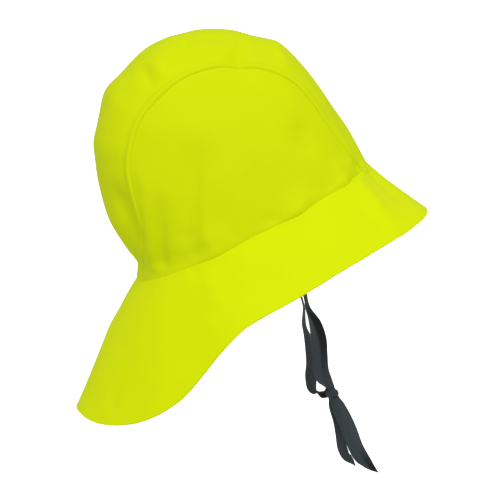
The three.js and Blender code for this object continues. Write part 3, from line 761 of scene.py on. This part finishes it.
def outer_sheet(node, name, out_at):
    """A copy of a solid's outer face. out_at gives the way out of the hat at a point."""
    obj = copy_as_quads(node, name)
    first = max(obj.data.polygons, key=lambda face: face.normal.dot(out_at(face.center)))
    first.select = True
    bpy.ops.object.mode_set(mode="EDIT")
    bpy.ops.mesh.faces_select_linked_flat(sharpness=WALL_TURN)
    bpy.ops.mesh.select_all(action="INVERT")
    bpy.ops.mesh.delete(type="FACE")
    end_edit()
    part_flat_corners(obj)
    split_border(obj)
    use_modifier(obj, "SUBSURF", levels=SHEET_LEVELS, render_levels=SHEET_LEVELS,
                 boundary_smooth="PRESERVE_CORNERS")
    return obj


gusset = outer_sheet("crown_gusset", "gusset", crown_out)
side_right = outer_sheet("crown_side_right", "side_right", crown_out)
side_left = outer_sheet("crown_side_left", "side_left", crown_out)
brim = outer_sheet("brim", "brim_sheet", brim_out)
for piece in (gusset, side_right, side_left, brim):
    print(piece.name, len(piece.data.polygons))

# %% [markdown]
# ## Shaping the fabric
#
# Coated fabric is springy, so its folds are soft and broad, and it puckers only where a seam holds it.
# Cloth simulation could fold it, but not at the photograph's places. So each vertex moves along its
# normal by the folds near it. A fold is deepest along its line, fades away beside it like a bell, and
# starts softly at its first end.

# %% How deep the folds are at a point
FOLD_START = 0.25
FOLD_FADE = 0.5


def near_line(point, start, end):
    """The distance from a point to a line between two points, and how far along it that is."""
    along = end - start
    share = max(0, min(1, (point - start).dot(along) / along.length_squared))
    return (point - start - along * share).length, share


def fold_depth(point, folds):
    depth = 0
    for fold in folds:
        distance, share = near_line(point, Vector(fold["from"]), Vector(fold["to"]))
        fade = min(1, FOLD_START + share / FOLD_FADE)
        depth += fade * fold["deep"] * math.exp(-((distance / fold["wide"]) ** 2))
    return depth


deepest = max(CROWN_FOLDS, key=lambda fold: fold["deep"])
print("deepest fold", round(fold_depth(Vector(deepest["to"]), CROWN_FOLDS), 2), "mm")

# %% [markdown]
# Between the folds no real sheet is quite even. Three sizes of smooth noise give a slow sway, a smaller
# buckle, and short puckers that die out away from the seams. Right at a seam the stitches hold the
# fabric, so all of them calm down there, and the panels still meet.

# %% The unevenness of the sheet
SWAY_SIZE = 34
BUCKLE_SIZE = 15
BUCKLE_SHARE = 0.35
BUCKLE_SEED = 5
PUCKER_SIZE = 7
PUCKER_REACH = 8
PUCKER_RISE = 0.55
PUCKER_SEED = 9
SEED_SIDEWAYS = 0.7
CALM_REACH = 3


def unevenness(point, size, seed):
    return noise.noise(point / size + Vector((seed, seed * SEED_SIDEWAYS, -seed)))


def soft_height(point, folds, sway, seed, seam):
    """How far the folds, the sway and the puckers bring a point that is seam mm away from a seam."""
    calm = 1 - math.exp(-((seam / CALM_REACH) ** 2))
    height = -fold_depth(point, folds) * calm
    height += sway * unevenness(point, SWAY_SIZE, seed) * calm
    height += BUCKLE_SHARE * sway * unevenness(point, BUCKLE_SIZE, seed + BUCKLE_SEED) * calm
    pucker = unevenness(point, PUCKER_SIZE, seed + PUCKER_SEED) * math.exp(-seam / PUCKER_REACH)
    return height + PUCKER_RISE * pucker * calm


print("puckers fade to", round(math.exp(-1), 2), "at", PUCKER_REACH, "mm from a seam")

# %% [markdown]
# At its long seams the gusset's edge is turned under, which makes a rounded lip that stands above the
# side panels, with a shallow valley beside it where the stitches pull. The lip is full over the top. It
# fades down the crown, where the seam lies flatter. The side panels and the crown's lower edge are
# tucked, so they go down into the seam.

# %% Lips and tucks
LIP_WIDTH = 4.5
LIP_RISE = 1.2
LIP_LEAST = 0.2
LIP_LOW = 20
LIP_FULL = 85
LIP_DROP = 0.8
LIP_ROUND = 4
LIP_VALLEY = 0.8
LIP_VALLEY_AT = 8
LIP_VALLEY_WIDTH = 3
TUCK_WIDTH = 2.5
TUCK_DEPTH = 0.3


def lip_height(point, to_lip):
    """How far the lip stands out, to_lip mm from its edge: an arch, turned down at the edge itself."""
    if to_lip >= LIP_WIDTH:
        return 0
    share = to_lip / LIP_WIDTH
    climb = (HAT_UP.dot(point) - LIP_LOW) / (LIP_FULL - LIP_LOW)
    rise = LIP_RISE * max(LIP_LEAST, min(climb, 1))
    return rise * 4 * share * (1 - share) - LIP_DROP * (1 - share) ** LIP_ROUND


def lip_valley(to_lip):
    return LIP_VALLEY * math.exp(-(((to_lip - LIP_VALLEY_AT) / LIP_VALLEY_WIDTH) ** 2))


def tuck_depth(to_tuck):
    if to_tuck >= TUCK_WIDTH:
        return 0
    return TUCK_DEPTH * (1 - to_tuck / TUCK_WIDTH) ** 2


for height in (LIP_LOW, LIP_FULL):
    rise = lip_height(HAT_UP * height, LIP_WIDTH / 2)
    print("lip at", height, "mm up stands", round(rise, 2), "mm out")

# %% [markdown]
# Two sheets that only just touch at a seam would show a gap from close by, so they reach a little way
# under and over each other. Each border vertex knows the way out of its sheet, and the points near it
# slide that way.

# %% Sliding the edges together
SLIDE_REACH = 2.5
LIP_SLIDE = 0.5
TUCK_SLIDE = 0.9
SEAM_SLIDE = 0.45
SEAM_NEAR = 4


def ways_out(mesh):
    """For each border vertex, the way out of the sheet at its border, in the sheet's own plane."""
    border, _ = border_edges(mesh)
    total = {}
    for face in mesh.polygons:
        for pair in face.edge_keys:
            if pair in border:
                a, b = (mesh.vertices[i].co for i in pair)
                along = (b - a).normalized()
                away = (a + b) / 2 - face.center
                away = (away - along * away.dot(along)).normalized()
                for i in pair:
                    total[i] = total.get(i, Vector()) + away
    return {i: way.normalized() for i, way in total.items()}


def slide_of(point, to_lip, to_tuck):
    """How far a point slides out of its sheet, in mm. The seam with the brim takes less of it."""
    slide = LIP_SLIDE if to_lip < LIP_WIDTH else 0
    if to_tuck < TUCK_WIDTH:
        slide = SEAM_SLIDE if abs(HAT_UP.dot(point)) < SEAM_NEAR else TUCK_SLIDE
    return slide * max(0, 1 - min(to_lip, to_tuck) / SLIDE_REACH)


print("border vertices of the gusset", len(ways_out(gusset.data)))

# %% [markdown]
# The seam's waves and the brim's edge shifts carry whole stretches of the sheet out and down. A wave of
# the seam dies out above and below it, so that it moves the crown and the brim together and they stay
# joined.

# %% Shifting with the seam and the edge
WAVE_HEIGHT = 8


def shift_by(point, rows):
    """How far out and down the rows of a table bring a point."""
    outward = (point - HAT_UP * HAT_UP.dot(point)).normalized()
    shift = Vector()
    for row in rows:
        away = (point - Vector(row["at"])).length
        share = math.exp(-((away / row["wide"]) ** 2))
        shift += (outward * row["out"] - HAT_UP * row["down"]) * share
    return shift


def seam_shift(point):
    """How far the seam's waves bring a point. They die out above and below the seam."""
    return shift_by(point, SEAM_WAVES) * math.exp(-((HAT_UP.dot(point) / WAVE_HEIGHT) ** 2))


for row in SEAM_WAVES:
    print("seam at", row["at"], "moves by", round(seam_shift(Vector(row["at"])).length, 2), "mm")

# %% [markdown]
# To know how far a vertex is from a seam, the nearest border point is looked up in a k-d tree, which
# finds it without measuring to every one. The border's points now stand close together, so the nearest
# of them is as good as the nearest place of the seam.

# %% The distance to a seam
FAR_AWAY = 1000


def tree_of(points):
    tree = kdtree.KDTree(len(points))
    for i, point in enumerate(points):
        tree.insert(point, i)
    tree.balance()
    return tree


def distance_to(tree, point):
    return tree.find(point)[2] if tree else FAR_AWAY


ear = Vector((EAR, 0, 0))
print("from ear to ear", round(distance_to(tree_of([ear]), -ear), 1), "mm")

# %% Shaping one sheet


def shape(obj, folds, lip, tucks, sway, seed, shifts=()):
    """Move each vertex along its normal. lip and tucks are the borders that are lips or are tucked."""
    mesh = obj.data
    ways = ways_out(mesh)
    border_ids = list(ways)
    border_tree = tree_of([mesh.vertices[i].co / MM for i in border_ids])
    lip_tree = tree_of(lip) if lip else None
    tuck_tree = tree_of(tucks) if tucks else None
    normals = [vertex.normal.copy() for vertex in mesh.vertices]
    for vertex, normal in zip(mesh.vertices, normals):
        point = vertex.co / MM
        to_lip, to_tuck = distance_to(lip_tree, point), distance_to(tuck_tree, point)
        height = soft_height(point, folds, sway, seed, min(to_lip, to_tuck))
        height -= lip_valley(to_lip)
        height += lip_height(point, to_lip)
        height -= tuck_depth(to_tuck)
        way = ways[border_ids[border_tree.find(point)[1]]]
        moved = point + normal * height + way * slide_of(point, to_lip, to_tuck)
        vertex.co = (moved + seam_shift(point) + shift_by(point, shifts)) * MM
    mesh.update()
    print(obj.name, "shaped, vertices", len(mesh.vertices))


# %% [markdown]
# On the gusset the long edges are lips and the short ones, at the seam with the brim, are tucked. The
# side panels are tucked all round. On the brim only the upper edge is a seam, and its hem is free.

# %% Shaping the four pieces of fabric
SEAM_HEIGHT = 3
CROWN_SWAY = 0.8
BRIM_SWAY = 0.9
SEEDS = {"gusset": 1, "side_right": 2, "side_left": 3, "brim_sheet": 4}


def above_seam(point):
    return HAT_UP.dot(point) > SEAM_HEIGHT


def at_seam(point):
    return HAT_UP.dot(point) <= SEAM_HEIGHT


def above_hem(point):
    return HAT_UP.dot(point) > -SEAM_HEIGHT


def anywhere(point):
    return True


def border_points(obj, test):
    """The border's points in mm that a test of their height above the seam with the brim lets in."""
    border, _ = border_edges(obj.data)
    ids = {vertex for pair in border for vertex in pair}
    points = [obj.data.vertices[i].co / MM for i in ids]
    return [point for point in points if test(point)]


shape(gusset, CROWN_FOLDS, border_points(gusset, above_seam), border_points(gusset, at_seam),
      CROWN_SWAY, SEEDS["gusset"])
for panel in (side_right, side_left):
    shape(panel, CROWN_FOLDS, [], border_points(panel, anywhere), CROWN_SWAY, SEEDS[panel.name])
shape(brim, BRIM_FOLDS, [], border_points(brim, above_hem), BRIM_SWAY, SEEDS["brim_sheet"], EDGE_SHIFTS)

# %% [markdown]
# ## Walls and edges
#
# Behind each seam a strip of fabric is turned in, and it closes the seam from inside. The border's
# edges are extruded once, and the new edges are moved a little on past the border and down into the hat.

# %% Turning the seam allowance in
ALLOWANCE_OUT = 1.5
ALLOWANCE_DOWN = 3.5


def turn_in(obj, test):
    """Turn a seam allowance in along the border that a test of its points lets in."""
    mesh = obj.data
    ways = ways_out(mesh)
    clear_picks(obj, "EDGE")
    border, _ = border_edges(mesh)
    for edge in mesh.edges:
        at_border = tuple(sorted(edge.vertices)) in border
        edge.select = at_border and all(test(mesh.vertices[i].co / MM) for i in edge.vertices)
    bpy.ops.object.mode_set(mode="EDIT")
    bpy.ops.mesh.extrude_edges_move(MESH_OT_extrude_edges_indiv={})
    end_edit()
    base = kdtree.KDTree(len(ways))
    for i in ways:
        base.insert(mesh.vertices[i].co, i)
    base.balance()
    normals = {i: mesh.vertices[i].normal.copy() for i in ways}
    for vertex in mesh.vertices:
        if vertex.select:
            i = base.find(vertex.co)[1]
            vertex.co = vertex.co + (ways[i] * ALLOWANCE_OUT - normals[i] * ALLOWANCE_DOWN) * MM
    mesh.update()
    print(obj.name, "with its allowance", len(mesh.polygons))


for piece in (side_right, side_left):
    turn_in(piece, anywhere)
turn_in(gusset, at_seam)

# %% [markdown]
# The sheet then gets the thickness of its fabric inwards, so that its outer face stays where the solid
# has it. The narrow faces round its edges are bevelled, because a folded or cut edge of coated fabric is
# never sharp.

# %% Thickness
CROWN_WALL = 1.5 * MM
BRIM_WALL = 2 * MM
EDGE_ROUND = 0.35 * MM
EDGE_ROUND_STEPS = 2
EDGE_ANGLE = math.radians(50)
FABRIC_SMOOTH = math.radians(60)


def thicken(obj, wall):
    use_modifier(obj, "SOLIDIFY", thickness=wall, offset=-1)
    use_modifier(obj, "BEVEL", width=EDGE_ROUND, segments=EDGE_ROUND_STEPS, limit_method="ANGLE",
                 angle_limit=EDGE_ANGLE)
    shade_smooth(obj, FABRIC_SMOOTH)
    print(obj.name, len(obj.data.polygons))


for piece in (gusset, side_right, side_left):
    thicken(piece, CROWN_WALL)
thicken(brim, BRIM_WALL)

# %% What the pieces of fabric are
for piece, node, name in (
    (gusset, "crown_gusset", "gusset_fabric"),
    (side_right, "crown_side_right", "side_fabric_right"),
    (side_left, "crown_side_left", "side_fabric_left"),
    (brim, "brim", "brim_fabric"),
):
    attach(piece, "root")
    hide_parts(node)
    print(piece.name, "replaces", node)

# %% [markdown]
# ## Finishes
#
# Both finishes are mixed from a light and a dark of the same colour in soft patches, which are fixed to
# the piece by its Object coordinates. A picture of real cloth could be wrapped round it, but a pattern
# made from noise has no seams and needs no file.

# %% Starting a finish


def start_material(name):
    material = bpy.data.materials.new(name)
    material.use_nodes = True
    tree = material.node_tree
    return material, tree, tree.nodes["Principled BSDF"]


def add_node(tree, kind, **settings):
    node = tree.nodes.new(kind)
    for key, value in settings.items():
        if key in node.inputs:
            node.inputs[key].default_value = value
        else:
            setattr(node, key, value)
    return node


def finish_with(obj, material):
    obj.data.materials.clear()
    obj.data.materials.append(material)
    print(obj.name, "has", material.name)


# %% Patches of colour, and relief


def colour_of(mix):
    """A mix node has an output of each kind under one name, and this is its colour."""
    return next(socket for socket in mix.outputs if socket.type == "RGBA")


def patches(tree, light, dark, pattern):
    """A colour that drifts between a light and a dark one in soft patches."""
    places = add_node(tree, "ShaderNodeTexCoord")
    cloud = add_node(tree, "ShaderNodeTexNoise", **pattern)
    tree.links.new(places.outputs["Object"], cloud.inputs["Vector"])
    mix = add_node(tree, "ShaderNodeMix", data_type="RGBA")
    mix.inputs["A"].default_value = (*light, 1)
    mix.inputs["B"].default_value = (*dark, 1)
    tree.links.new(cloud.outputs["Fac"], mix.inputs["Factor"])
    return colour_of(mix)


def roughen(tree, shader, pattern, relief):
    """Let a pattern stand out of the surface."""
    bump = add_node(tree, "ShaderNodeBump", **relief)
    tree.links.new(pattern.outputs["Fac"], bump.inputs["Height"])
    tree.links.new(bump.outputs["Normal"], shader.inputs["Normal"])


# %% [markdown]
# The fabric is a knit coated with a matte, very bright yellow film. It has almost no highlight, a faint
# unevenness of colour and a fine leathery grain. The grain is far finer than the mesh, so it is bump.
# The brim is painted a touch lighter than the crown, as in the photograph: painted light, where the brim
# faces up into the light.

# %% The coated fabric
YELLOW = (0.73, 0.86, 0.003)
YELLOW_DARK = (0.69, 0.82, 0.003)
# Painted light: the brim's yellows are lighter than the crown's, where the brim faces up into the light.
BRIM_PAINTED_LIT_YELLOW = (0.78, 0.91, 0.002)
BRIM_PAINTED_LIT_YELLOW_DARK = (0.75, 0.88, 0.002)
FABRIC_PATCHES = {"Scale": 28, "Detail": 3, "Roughness": 0.55}
FABRIC_GRAIN = {"Scale": 1300, "Detail": 4, "Roughness": 0.6}
FABRIC_RELIEF = {"Strength": 0.25, "Distance": 0.0004}
FABRIC_ROUGHNESS = 0.62
FABRIC_SHINE = 0.03


def coated_fabric(name, light, dark):
    material, tree, shader = start_material(name)
    tree.links.new(patches(tree, light, dark, FABRIC_PATCHES), shader.inputs["Base Color"])
    places = add_node(tree, "ShaderNodeTexCoord")
    grain = add_node(tree, "ShaderNodeTexNoise", **FABRIC_GRAIN)
    tree.links.new(places.outputs["Object"], grain.inputs["Vector"])
    roughen(tree, shader, grain, FABRIC_RELIEF)
    shader.inputs["Roughness"].default_value = FABRIC_ROUGHNESS
    shader.inputs["Specular IOR Level"].default_value = FABRIC_SHINE
    return material


for piece in (gusset, side_right, side_left):
    finish_with(piece, coated_fabric(f"{piece.name} fabric", YELLOW, YELLOW_DARK))
# The brim's copy of the fabric is painted lighter, as painted light.
finish_with(brim, coated_fabric("brim fabric", BRIM_PAINTED_LIT_YELLOW, BRIM_PAINTED_LIT_YELLOW_DARK))

# %% [markdown]
# The ribbon is a plain woven tape, dark slate grey, with ribs across it and a slight sheen. The ribs
# follow the tape's own UV map, so that they bend and twist with it. Where the ribbon is folded over and
# lies in shadow, its colour is darkened with painted shade.

# %% The woven tape
TAPE = (0.05, 0.065, 0.08)
TAPE_DARK = (0.034, 0.045, 0.056)
# Painted shade: the near-black that the tape's colour is darkened to where the ribbon is folded over and
# in shadow.
TAPE_PAINTED_SHADE = (0.004, 0.005, 0.005)
TAPE_PATCHES = {"Scale": 120, "Detail": 3, "Roughness": 0.6}
TAPE_RIBS = {"bands_direction": "Y", "Scale": 6.5, "Distortion": 0.4, "Detail": 1}
TAPE_RELIEF = {"Strength": 0.3, "Distance": 0.0003}
TAPE_ROUGHNESS = 0.5
TAPE_SHINE = 0.2


def woven_tape(name, light, dark):
    material, tree, shader = start_material(name)
    along = add_node(tree, "ShaderNodeUVMap", uv_map="along")
    ribs = add_node(tree, "ShaderNodeTexWave", **TAPE_RIBS)
    tree.links.new(along.outputs["UV"], ribs.inputs["Vector"])
    roughen(tree, shader, ribs, TAPE_RELIEF)
    # Painted shade darkens the tape's colour where the ribbon is folded over and in shadow.
    side = add_node(tree, "ShaderNodeAttribute", attribute_name="painted_shade")
    turned = add_node(tree, "ShaderNodeMix", data_type="RGBA")
    turned.inputs["B"].default_value = (*TAPE_PAINTED_SHADE, 1)
    tree.links.new(side.outputs["Fac"], turned.inputs["Factor"])
    tree.links.new(patches(tree, light, dark, TAPE_PATCHES), turned.inputs["A"])
    tree.links.new(colour_of(turned), shader.inputs["Base Color"])
    shader.inputs["Roughness"].default_value = TAPE_ROUGHNESS
    shader.inputs["Specular IOR Level"].default_value = TAPE_SHINE
    return material


for piece in (right_tie, left_tie, knot):
    finish_with(piece, woven_tape(f"{piece.name} tape", TAPE, TAPE_DARK))

# %% [markdown]
# ## Light and floor
#
# The light is that of a studio with white walls, so the world around gives an even white light. One
# large soft light stands high on the camera's side and gives the folds their shadows. A large light is
# softer than a small one, and its low power keeps the yellow from burning out.

# %% The light
AMBIENT = 0.62
WHITE = (1, 1, 1, 1)
KEY_PLACE = Vector((-2.1, -0.5, 1.9))
KEY_SIZE = 1.6
KEY_POWER = 30

world = bpy.data.worlds.new("studio")
world.use_nodes = True
background = world.node_tree.nodes["Background"]
background.inputs["Color"].default_value = WHITE
background.inputs["Strength"].default_value = AMBIENT
bpy.context.scene.world = world

bpy.ops.object.light_add(type="AREA", location=KEY_PLACE)
key = bpy.context.object
key.name = "key"
key.data.shape = "SQUARE"
key.data.size = KEY_SIZE
key.data.energy = KEY_POWER
key.rotation_euler = (-KEY_PLACE).to_track_quat("-Z", "Y").to_euler()
print("key light, metres away", round(KEY_PLACE.length, 2))

# %% [markdown]
# The floor is a wide round cove: a disc with a wall that it turns up into, like the paper roll of a
# studio, so that no edge shows behind the hat from any side. It is as white as the photograph's ground.
# It is far below the hat and is only seen by the camera, so it throws no light or shadow on the yellow.

# %% The floor
FLOOR_DROP = 2
FLOOR_SIDES = 96
COVE_RADIUS = 9
COVE_HEIGHT = 12
COVE_ROUND = 2
COVE_STEPS = 10
FLOOR_COLOUR = (0.9, 0.9, 0.9, 1)
FLOOR_GLOW = 1

bpy.ops.object.select_all(action="DESELECT")
bpy.ops.mesh.primitive_circle_add(vertices=FLOOR_SIDES, radius=COVE_RADIUS, fill_type="NGON",
                                  location=(0, 0, -FLOOR_DROP))
floor = bpy.context.object
floor.name = "floor"
use_edit(floor, "FACE")
bpy.ops.mesh.select_all(action="SELECT")
bpy.ops.mesh.extrude_region_move(TRANSFORM_OT_translate={"value": (0, 0, COVE_HEIGHT)})
bpy.ops.mesh.delete(type="FACE")
end_edit()
use_modifier(floor, "BEVEL", width=COVE_ROUND, segments=COVE_STEPS, limit_method="ANGLE")
print("floor", len(floor.data.polygons))

# %% What the floor is
for ray in ("visible_diffuse", "visible_glossy", "visible_shadow"):
    setattr(floor, ray, False)
floor_material, _, floor_shader = start_material("pale floor")
floor_shader.inputs["Base Color"].default_value = FLOOR_COLOUR
floor_shader.inputs["Emission Color"].default_value = WHITE
floor_shader.inputs["Emission Strength"].default_value = FLOOR_GLOW
finish_with(floor, floor_material)
